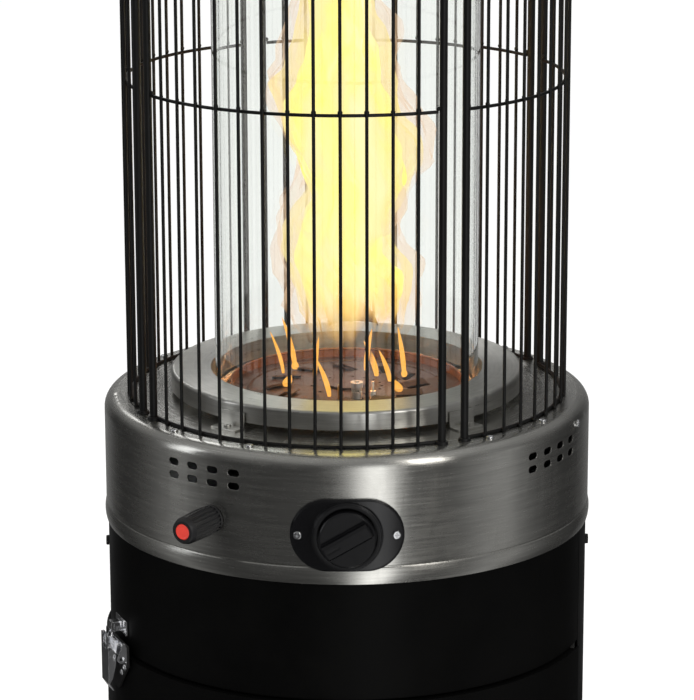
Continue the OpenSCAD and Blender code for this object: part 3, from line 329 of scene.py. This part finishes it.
# %% The brushed steel of the band
def brushed_steel(name, shade, roughness, tint=(1.0, 0.99, 0.93)):
    steel = Finish(name, Metallic=1.0, Anisotropic=0.72, Anisotropic_Rotation=0.25)
    hair, _ = turned_place(steel, 9.0, 2600.0)
    stroke, _ = turned_place(steel, 4.0, 420.0)
    smear, _ = turned_place(steel, 5.5, 9.0)
    hairs = steel.noise(hair, 1.0, 3.0, 0.6)
    strokes = steel.noise(stroke, 1.0, 4.0, 0.62)
    smears = steel.noise(smear, 1.0, 5.0, 0.6, 0.4)
    wiped = steel.span(smears, 0.38, 0.66)
    grain = strokes * 0.6 + hairs * 0.4
    light = tuple(min(1.0, shade * 1.12 * c) for c in tint)
    dark = tuple(shade * 0.74 * c for c in tint)
    colour = steel.blend(steel.span(grain, 0.3, 0.7), dark, light)
    colour = steel.blend(wiped * 0.35, colour, tuple(shade * 0.66 * c for c in (1.0, 0.97, 0.9)))
    rough = roughness + (grain - 0.5) * 0.28 + wiped * 0.08
    dents = steel.bump(strokes * 0.5 + hairs * 0.5, 0.00005, 0.55, steel.eased_edges(0.0007))
    return steel.feed(Base_Color=colour, Roughness=rough, Normal=dents)


finishes = {}
finishes["band_steel"] = brushed_steel("band_steel", 0.6, 0.215)
finishes["top_steel"] = brushed_steel("top_steel", 0.66, 0.3)
print("brushed steel for the band and the top")

# %% [markdown]
# ## Powder coat
#
# Powder coat is sprayed on dry and melts into a skin with a faint orange-peel ripple. The ripple is a
# bump of about a millimetre across and a few microns high, and a second, larger noise makes the gloss a
# little uneven. Edges are eased in the shader, because coat flows round a sharp sheet edge.


# %% Black powder coat
def powder_coat(name, shade, roughness, peel=0.000012, dust=0.0, level=0.3):
    coat = Finish(name, Specular_IOR_Level=level)
    place = coat.place()
    ripple = coat.noise(place, 900.0, 2.0)
    patch = coat.noise(place, 14.0, 4.0, 0.6)
    tone = coat.span(patch, 0.3, 0.7)
    colour = coat.blend(tone, (shade * 0.8,) * 3, (shade * 1.3, shade * 1.28, shade * 1.2))
    if dust:
        lift = coat.noise(place, 60.0, 5.0, 0.7)
        colour = coat.blend(coat.span(lift, 0.55, 0.8) * dust, colour, (0.16, 0.15, 0.13))
    rough = roughness + (tone - 0.5) * 0.12 + (ripple - 0.5) * 0.1
    return coat.feed(Base_Color=colour, Roughness=rough,
                     Normal=coat.bump(ripple, peel, 1.0, coat.eased_edges(0.0006)))


finishes["drum_black"] = powder_coat("drum_black", 0.0019, 0.42, level=0.05)
finishes["base_black"] = powder_coat("base_black", 0.007, 0.5, dust=0.12)
finishes["cage_black"] = powder_coat("cage_black", 0.004, 0.42, level=0.3)
finishes["frame_grey"] = powder_coat("frame_grey", 0.035, 0.55, dust=0.2)
print("four powder coats")

# %% [markdown]
# ## Chrome and zinc
#
# Chrome is nearly a mirror, so all its looks come from the room; a fine haze and a few soft dents keep
# it from looking like computed glass. Zinc plate is duller and shows a cloudy, slightly blue bloom.


# %% Chrome and zinc
def chrome():
    plate = Finish("chrome", Metallic=1.0)
    place = plate.place()
    haze = plate.noise(place, 160.0, 4.0, 0.6)
    dent = plate.noise(place, 300.0, 1.0)
    colour = plate.blend(haze, (0.82, 0.83, 0.85), (0.93, 0.93, 0.94))
    return plate.feed(Base_Color=colour, Roughness=plate.span(haze, 0.35, 0.75, 0.05, 0.2),
                      Normal=plate.bump(dent, 0.00006, 0.6, plate.eased_edges(0.0004)))


def zinc_plate():
    zinc = Finish("zinc", Metallic=1.0)
    place = zinc.place()
    bloom = zinc.noise(place, 90.0, 5.0, 0.65, 0.6)
    grain = zinc.noise(place, 1500.0, 2.0)
    colour = zinc.blend(bloom, (0.46, 0.48, 0.52), (0.72, 0.72, 0.7))
    return zinc.feed(Base_Color=colour, Roughness=zinc.span(bloom, 0.3, 0.7, 0.28, 0.5),
                     Normal=zinc.bump(grain, 0.00001, 0.7, zinc.eased_edges(0.0004)))


finishes["chrome"] = chrome()
finishes["zinc"] = zinc_plate()
print("chrome and zinc")

# %% [markdown]
# ## Moulded plastics
#
# The bezel and knob are glossy black thermoset, the igniter a duller nylon, the button a red acetal.
# Mouldings have rounded edges that catch a thin line of light, a barely wavy surface where the melt
# cooled, and a fine matt texture where the tool was spark-eroded.


# %% One plastic, from gloss to matt
def moulding(name, colour, roughness, texture=0.0, level=0.5, edge=0.0008):
    plastic = Finish(name, Specular_IOR_Level=level)
    place = plastic.place()
    flow = plastic.noise(place, 70.0, 3.0, 0.5)
    pits = plastic.noise(place, 2600.0, 2.0)
    tone = plastic.blend(flow, tuple(c * 0.85 for c in colour), tuple(min(1.0, c * 1.15) for c in colour))
    height = flow * 0.5 + pits * texture
    return plastic.feed(Base_Color=tone, Roughness=roughness + (flow - 0.5) * 0.1 + (pits - 0.5) * 0.08,
                        Normal=plastic.bump(height, 0.00003, 0.6, plastic.eased_edges(edge)))


finishes["bezel_plastic"] = moulding("bezel_plastic", (0.004, 0.004, 0.0045), 0.12, 0.02, 0.35, 0.0014)
finishes["knob_plastic"] = moulding("knob_plastic", (0.003, 0.003, 0.0035), 0.17, 0.05, 0.35, 0.0014)
finishes["igniter_plastic"] = moulding("igniter_plastic", (0.008, 0.008, 0.009), 0.42, 0.25)
finishes["button_red"] = moulding("button_red", (0.62, 0.035, 0.02), 0.34, 0.05)
finishes["switch_plastic"] = moulding("switch_plastic", (0.03, 0.03, 0.033), 0.5, 0.3)
finishes["wheel_plastic"] = moulding("wheel_plastic", (0.012, 0.012, 0.012), 0.6, 0.5, 0.35)
finishes["rubber"] = moulding("rubber", (0.012, 0.012, 0.012), 0.8, 0.8, 0.25, 0.0012)
print("seven mouldings")

# %% [markdown]
# ## Hot metal
#
# Steel near the flame oxidises: straw, then bronze, then a sooty brown-grey where it is hottest. The
# bowl's rim is worn back to copper-coloured steel. Rings of colour follow the distance from the axis,
# broken up by noise, so the tint reads the radius.


# %% Heat-tinted steel
def heat_tinted(name, stops, reach, roughness, soot=0.3):
    steel = Finish(name)
    place, _ = turned_place(steel, 6.0, 220.0)
    split = steel.node("ShaderNodeSeparateXYZ", inputs={0: steel.place()})
    x, y = (Signal(steel, split.socket.node.outputs[k]) for k in range(2))
    radius = (x * x + y * y) ** 0.5
    cloud = steel.noise(steel.place(), 46.0, 5.0, 0.62, 0.5)
    speck = steel.noise(steel.place(), 420.0, 4.0, 0.7)
    scratches = steel.noise(place, 1.0, 3.0)
    colour = steel.ramp(radius / reach + (cloud - 0.5) * 0.35, stops)
    sooted = steel.span(cloud + (speck - 0.5) * 0.4, 0.5, 0.72) * soot
    colour = steel.blend(sooted, colour, (0.03, 0.024, 0.02))
    rough = roughness + (speck - 0.5) * 0.25 + sooted * 0.3
    metal = 0.85 - sooted * 0.6
    return steel.feed(Base_Color=colour, Roughness=rough, Metallic=metal,
                      Normal=steel.bump(scratches * 0.4 + speck * 0.6, 0.00008, 0.5, steel.eased_edges(0.0006)))


finishes["burner_steel"] = heat_tinted("burner_steel", [
    (0.5, (0.10, 0.065, 0.05)), (0.8, (0.18, 0.11, 0.07)), (0.93, (0.33, 0.18, 0.11)), (1.0, (0.42, 0.3, 0.23))],
    burner_r, 0.36)
finishes["burner_plate_steel"] = heat_tinted("burner_plate_steel", [
    (0.1, (0.085, 0.065, 0.06)), (0.45, (0.1, 0.078, 0.07)), (0.8, (0.08, 0.055, 0.045)), (1.0, (0.2, 0.11, 0.07))],
    burner_r, 0.45, 0.45)
finishes["pilot_steel"] = heat_tinted("pilot_steel", [
    (0.2, (0.62, 0.6, 0.56)), (0.6, (0.7, 0.66, 0.6)), (1.0, (0.5, 0.4, 0.3))], burner_r, 0.35, 0.15)
print("three heat-tinted steels")

# %% [markdown]
# ## Castings, brass, ceramic, rope and the cell
#
# These sit inside the head and show only through the openings or when the door is off. Each still has
# its own structure: sand-cast grain, turned rings on the brass, a matt glaze on the ceramic, the twist
# of a glass-fibre rope, and the printed can of a dry cell.


# %% Cast metal, brass and ceramic
def cast_metal():
    cast = Finish("valve_cast", Metallic=0.9)
    grain = cast.noise(cast.place(), 700.0, 5.0, 0.7)
    cloud = cast.noise(cast.place(), 60.0, 3.0)
    colour = cast.blend(cloud, (0.42, 0.4, 0.37), (0.62, 0.6, 0.56))
    return cast.feed(Base_Color=colour, Roughness=0.5 + (grain - 0.5) * 0.3,
                     Normal=cast.bump(grain, 0.00006, 0.7, cast.eased_edges(0.0008)))


def turned_brass():
    brass = Finish("brass", Metallic=1.0)
    tarnish = brass.noise(brass.place(), 85.0, 5.0, 0.65)
    rings = brass.noise(brass.place(), 1800.0, 1.0)
    colour = brass.blend(brass.span(tarnish, 0.35, 0.7), (0.83, 0.62, 0.28), (0.48, 0.3, 0.13))
    return brass.feed(Base_Color=colour, Roughness=brass.span(tarnish, 0.3, 0.7, 0.2, 0.46),
                      Normal=brass.bump(rings, 0.00001, 0.6, brass.eased_edges(0.0004)))


def glazed_ceramic():
    clay = Finish("ceramic", Specular_IOR_Level=0.45)
    stain = clay.noise(clay.place(), 120.0, 5.0, 0.65)
    colour = clay.ramp(stain, [(0.35, (0.86, 0.84, 0.79)), (0.62, (0.78, 0.72, 0.62)), (0.8, (0.4, 0.3, 0.22))])
    return clay.feed(Base_Color=colour, Roughness=clay.span(stain, 0.3, 0.7, 0.25, 0.5),
                     Normal=clay.bump(stain, 0.00004, 0.4, clay.eased_edges(0.0004)))


finishes["valve_cast"] = cast_metal()
finishes["brass"] = turned_brass()
finishes["ceramic"] = glazed_ceramic()
print("casting, brass, ceramic")


# %% Rope gasket and dry cell
def rope():
    fibre = Finish("gasket", Specular_IOR_Level=0.2)
    lay, height = turned_place(fibre, 1.0, 1.0)
    split = fibre.node("ShaderNodeSeparateXYZ", inputs={0: lay})
    x, y = (Signal(fibre, split.socket.node.outputs[k]) for k in range(2))
    turn = x.math("ARCTAN2", x, y)
    twist = x.math("SINE", turn * 150.0 + height * 2600.0) * 0.5 + 0.5
    fuzz = fibre.noise(fibre.place(), 1600.0, 3.0)
    colour = fibre.blend(twist, (0.5, 0.47, 0.4), (0.86, 0.84, 0.78))
    return fibre.feed(Base_Color=colour, Roughness=0.8 + (fuzz - 0.5) * 0.2,
                      Normal=fibre.bump(twist * 0.8 + fuzz * 0.2, 0.0005, 0.8))


def cell_can():
    can = Finish("cell", Metallic=0.8)
    wear = can.noise(can.place(), 220.0, 4.0)
    colour = can.blend(can.span(wear, 0.55, 0.75), (0.72, 0.52, 0.14), (0.6, 0.6, 0.6))
    return can.feed(Base_Color=colour, Roughness=can.span(wear, 0.3, 0.7, 0.22, 0.4),
                    Normal=can.bump(wear, 0.00002, 0.5, can.eased_edges(0.0004)))


finishes["gasket"] = rope()
finishes["cell"] = cell_can()
print("rope gasket and cell")

# %% [markdown]
# ## Glass
#
# The tube is 3 mm of clear borosilicate. Looked through square on it only greys the scene a little;
# along its edges the wall is seen end on and turns grey-green. A refracting shader on the true wall does
# both by itself. Shadow rays pass straight through, because light through clear glass is hardly lost.
# Heat leaves a faint veil of dust on the inside, read as a slight unevenness of the roughness.


# %% Clear borosilicate
def clear_glass():
    glass = Finish("glass", Base_Color=(0.95, 0.965, 0.945, 1.0), IOR=1.47, Transmission_Weight=1.0)
    veil = glass.noise(glass.place(), 9.0, 5.0, 0.6)
    glass.feed(Roughness=glass.span(veil, 0.45, 0.8, 0.0, 0.05))
    open_air = glass.tree.nodes.new("ShaderNodeBsdfTransparent")
    open_air.inputs["Color"].default_value = (0.95, 0.96, 0.95, 1.0)
    mixed = glass.node("ShaderNodeMixShader", inputs={
        0: glass.node("ShaderNodeLightPath", output="Is Shadow Ray"),
        1: Signal(glass, glass.shader.outputs[0]), 2: Signal(glass, open_air.outputs[0])})
    glass.connect(mixed, glass.output.inputs["Surface"])
    return glass.material


finishes["glass"] = clear_glass()
print("glass")

# %% [markdown]
# ## Giving every CAD node its finish
#
# The record names a material slot for each node. Reading it here means a node can't be forgotten: the
# loop stops with a plain message if a slot has no finish.

# %% Assign the finishes
for part in frame["record"]["subparts"]:
    if part["material_slot"] not in finishes:
        raise ValueError("no finish for slot " + part["material_slot"])
    mesh = nodes[part["node"]].data
    mesh.materials.clear()
    mesh.materials.append(finishes[part["material_slot"]])
print("finishes on", len(nodes), "nodes")

# %% [markdown]
# ## Welds of the cage
#
# A wire cage is resistance-welded: where a ring crosses an upright the two melt together and a small
# nugget stands out at both sides, later buried under the coat. The CAD wires only touch, so each
# crossing gets a flattened bead that fills the corner. Their places follow from the box of one panel.

# %% From a bmesh to a smooth object
def smooth_object(name, bm):
    for face in bm.faces:
        face.smooth = True
    mesh = bpy.data.meshes.new(name)
    bm.to_mesh(mesh)
    bm.free()
    return add_object(name, mesh)


print("meshes can be added")


# %% Beads where the rings cross the uprights
# Azimuth of the seam between the two front panels, in degrees
CAGE_SEAM = 27.5
UPRIGHTS = 56
UPRIGHTS_OF_PANEL = 14
RINGS = 4
WIRE_R = 0.0015
# The wires stand this far inside the band; a ring stops short of a post by this angle
CAGE_INSET = 0.023
POST_HALF_ANGLE = 1.02
BEAD = (0.0023, 0.0014, 0.0021)
cage_low, cage_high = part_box("cage_panel_front")
ring_pitch = (cage_high.z - cage_low.z - 2 * WIRE_R) / (RINGS - 1)


def weld_beads():
    bm = bmesh.new()
    for k in range(UPRIGHTS):
        azimuth = CAGE_SEAM + (k + 0.5) * 360 / UPRIGHTS
        radius = band_r - CAGE_INSET - WIRE_R
        place_in_panel = k % UPRIGHTS_OF_PANEL
        if place_in_panel in (0, UPRIGHTS_OF_PANEL - 1):
            azimuth += POST_HALF_ANGLE if place_in_panel == 0 else -POST_HALF_ANGLE
            radius -= WIRE_R
        a = math.radians(azimuth)
        for i in range(RINGS):
            spot = Vector((radius * math.sin(a), -radius * math.cos(a), cage_low.z + WIRE_R + i * ring_pitch))
            size = 1.0 + 0.25 * noise.noise(spot * 90)
            turn = Matrix.Rotation(a, 4, "Z")
            scale = Matrix.Diagonal((BEAD[0] * size, BEAD[1], BEAD[2] * size, 1.0))
            bmesh.ops.create_icosphere(bm, subdivisions=2, radius=1.0, matrix=Matrix.Translation(spot) @ turn @ scale)
    beads = smooth_object("cage_welds", bm)
    beads.data.materials.append(finishes["cage_black"])
    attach(beads, ROOT)


weld_beads()
print(UPRIGHTS * RINGS, "weld beads")

# %% [markdown]
# ## The flame
#
# A flame is glowing gas, brightest where the line of sight crosses most of it. Nested skins do that
# with plain meshes: the core is crossed by every line through the middle, the outer skin also by those
# that only graze the flame, so the middle turns pale yellow and the rim stays orange. Each skin is a
# stack of rings whose centre wanders and whose outline is pushed about by noise, like a real flame that
# licks up one side and then the other. Noise also lets holes into the skins, so no edge is hard. The
# skins start a few centimetres above the plate, where the gas has mixed with enough air to glow.

# %% The outline of the flame: (height above the burner, left edge, right edge)
FLAME_OUTLINE = [
    (0.0, -0.030, 0.040), (0.03, -0.034, 0.045), (0.058, -0.043, 0.057), (0.072, -0.050, 0.062),
    (0.09, -0.054, 0.064), (0.109, -0.062, 0.064), (0.129, -0.066, 0.049), (0.145, -0.064, 0.045),
    (0.169, -0.058, 0.053), (0.188, -0.049, 0.060), (0.208, -0.053, 0.070), (0.235, -0.060, 0.071),
    (0.26, -0.064, 0.059), (0.285, -0.066, 0.053), (0.303, -0.053, 0.044), (0.338, -0.045, 0.045),
    (0.36, -0.041, 0.034), (0.42, -0.044, 0.036), (0.50, -0.03, 0.032), (0.58, -0.018, 0.02),
    (0.66, -0.002, 0.004)]
FLAME_HIGH = FLAME_OUTLINE[-1][0]


def smooth_between(table, height):
    for (h0, *low), (h1, *high) in zip(table, table[1:]):
        if height <= h1:
            t = (height - h0) / (h1 - h0)
            t = t * t * (3 - 2 * t)
            return [a + (b - a) * t for a, b in zip(low, high)]
    return table[-1][1:]


print("flame outline with", len(FLAME_OUTLINE), "heights, up to", FLAME_HIGH)


# %% A tube through rings of points
def lofted(name, loops, closed_foot):
    bm = bmesh.new()
    rings = [[bm.verts.new(point) for point in loop] for loop in loops]
    for lower, upper in zip(rings, rings[1:]):
        sides = len(lower)
        for k in range(sides):
            bm.faces.new((lower[k], lower[(k + 1) % sides], upper[(k + 1) % sides], upper[k]))
    if closed_foot:
        bm.faces.new(list(reversed(rings[0])))
    bm.faces.new(rings[-1])
    return smooth_object(name, bm)


print("tubes can be lofted")


# %% A skin of the flame
def flame_skin(name, width, foot, top, raggedness, seed, rings=110, sides=72):
    loops = []
    for i in range(rings + 1):
        height = foot + (FLAME_HIGH * top - foot) * i / rings
        left, right = smooth_between(FLAME_OUTLINE, height / top)
        centre = Vector(((left + right) / 2, 0.012 * math.sin(9 * height + 0.6), plate_z + 0.002 + height))
        half = (right - left) / 2 * width
        loop = []
        for k in range(sides):
            a = 2 * math.pi * k / sides
            swirl = a + 5.0 * height
            spot = Vector((math.cos(swirl) * 1.6, math.sin(swirl) * 1.6, height * 13.0 + seed))
            lick = 1 + raggedness * noise.noise(spot) + 0.5 * raggedness * noise.noise(spot * 2.3)
            reach = half * max(0.08, lick)
            loop.append(centre + Vector((reach * math.cos(a), reach * 0.86 * math.sin(a), 0)))
        loops.append(loop)
    return lofted(name, loops, False)


print("flame skins can be made")


# %% The glow of a skin
def glow(name, rim, heart, strength, body, ragged=1.0, low=0.0):
    fire = Finish(name, Base_Color=(0.0, 0.0, 0.0, 1.0), Specular_IOR_Level=0.0, Roughness=1.0,
                  Emission_Strength=strength)
    place = fire.place()
    split = fire.node("ShaderNodeSeparateXYZ", inputs={0: place})
    height = Signal(fire, split.socket.node.outputs[2]) - plate_z
    stretched = fire.node("ShaderNodeMapping", inputs={"Vector": place, "Scale": (1.0, 1.0, 0.3)})
    lick = fire.noise(stretched, 26.0, 3.0, 0.55, 0.8)
    rise = fire.span(height + (lick - 0.5) * 0.12, 0.048, 0.1)
    fade = fire.span(height, FLAME_HIGH * 0.6, FLAME_HIGH, 1.0, 0.15)
    holes = fire.span(lick, 0.3, 0.3 + 0.3 * ragged)
    cover = holes * body * fade * (low + rise * (1.0 - low))
    colour = fire.blend(rise, (1.0, 0.45, 0.08), fire.blend(fire.span(lick, 0.3, 0.7), rim, heart))
    fire.feed(Emission_Color=colour)
    clear = fire.node("ShaderNodeBsdfTransparent")
    fire.connect(fire.node("ShaderNodeMixShader", inputs={
        0: cover, 1: clear, 2: Signal(fire, fire.shader.outputs[0])}),
                 fire.output.inputs["Surface"])
    return fire.material


# Each row is (name, width, foot, top, raggedness, seed, rim colour, heart colour, strength, body, holes)
SKINS = [
    ("flame_veil", 1.0, 0.03, 1.0, 0.42, 1.7, (1.0, 0.52, 0.24), (1.0, 0.86, 0.66), 1.02, 0.38, 1.0),
    ("flame_outer", 0.88, 0.036, 0.97, 0.34, 2.1, (1.0, 0.74, 0.14), (1.0, 0.92, 0.5), 1.2, 0.55, 0.8),
    ("flame_mantle", 0.72, 0.042, 0.92, 0.28, 2.6, (1.0, 0.86, 0.08), (1.0, 0.97, 0.42), 1.4, 0.88, 0.4),
    ("flame_heart", 0.5, 0.048, 0.86, 0.2, 3.7, (1.0, 0.97, 0.2), (1.0, 1.0, 0.6), 1.6, 0.95, 0.3),
]
for name, width, foot, top, raggedness, seed, rim, heart, strength, body, ragged in SKINS:
    skin = flame_skin(name, width, foot, top, raggedness, seed)
    skin.data.materials.append(glow(name, rim, heart, strength, body, ragged))
    skin.visible_shadow = False
    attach(skin, ROOT)
print("flame of", len(SKINS), "skins")

# %% [markdown]
# The burner also feeds small tongues through single holes of the plate. Each is a thin curved spindle,
# and they lean inwards because the main flame draws the air in.


# %% Small tongues over the louvres
def tongue(name, foot_x, foot_y, tall, thick, drift, rings=14, sides=12):
    foot = Vector((foot_x, foot_y, plate_z - 0.002))
    loops = []
    for i in range(rings + 1):
        t = i / rings
        centre = foot + Vector((drift * t ** 1.5, 0, tall * t))
        wide = thick * (0.35 + 1.3 * t * (1 - t)) * (1 - t) ** 0.4 + 0.0002
        loops.append([centre + Vector((wide * math.cos(2 * math.pi * k / sides),
                                       wide * math.sin(2 * math.pi * k / sides), 0)) for k in range(sides)])
    return lofted(name, loops, True)


tongue_glow = glow("flame_tongue", (1.0, 0.42, 0.06), (1.0, 0.66, 0.2), 1.3, 0.8, 0.5, 1.0)
# Each row is (foot x, foot y, height, thickness, sideways drift)
TONGUES = [(-0.049, 0.055, 0.050, 0.0042, -0.012), (-0.060, 0.040, 0.040, 0.003, -0.012),
           (0.054, 0.026, 0.048, 0.004, -0.006), (-0.016, -0.042, 0.036, 0.0042, -0.012),
           (0.028, 0.029, 0.034, 0.005, -0.012), (0.040, 0.010, 0.030, 0.004, -0.010),
           (0.018, 0.050, 0.040, 0.004, 0.006), (-0.030, 0.020, 0.040, 0.0035, 0.004),
           (-0.056, -0.006, 0.011, 0.0075, 0.004), (0.048, -0.026, 0.011, 0.0075, -0.004),
           (-0.049, 0.055, 0.008, 0.006, 0.0), (0.054, 0.026, 0.008, 0.005, 0.0)]
for k, (foot_x, foot_y, tall, thick, drift) in enumerate(TONGUES):
    made = tongue("flame_tongue_%d" % (k + 1), foot_x, foot_y, tall, thick, drift)
    made.data.materials.append(tongue_glow)
    made.visible_shadow = False
    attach(made, ROOT)
print(len(TONGUES), "tongues")


# %% The light of the flame
def ember(name, height, watts, radius, colour):
    lamp = bpy.data.lights.new(name, "POINT")
    lamp.energy = watts
    lamp.shadow_soft_size = radius
    lamp.color = colour
    holder = add_object(name, lamp)
    holder.location = (0, 0, plate_z + height)
    for kind_of_ray in ("visible_camera", "visible_glossy", "visible_transmission"):
        setattr(holder, kind_of_ray, False)


ember("ember_low", 0.05, 1.0, 0.03, (1.0, 0.36, 0.09))
ember("ember_mid", 0.17, 3.6, 0.04, (1.0, 0.3, 0.07))
ember("ember_high", 0.36, 3.0, 0.04, (1.0, 0.55, 0.22))
print("three embers light the cage from inside")
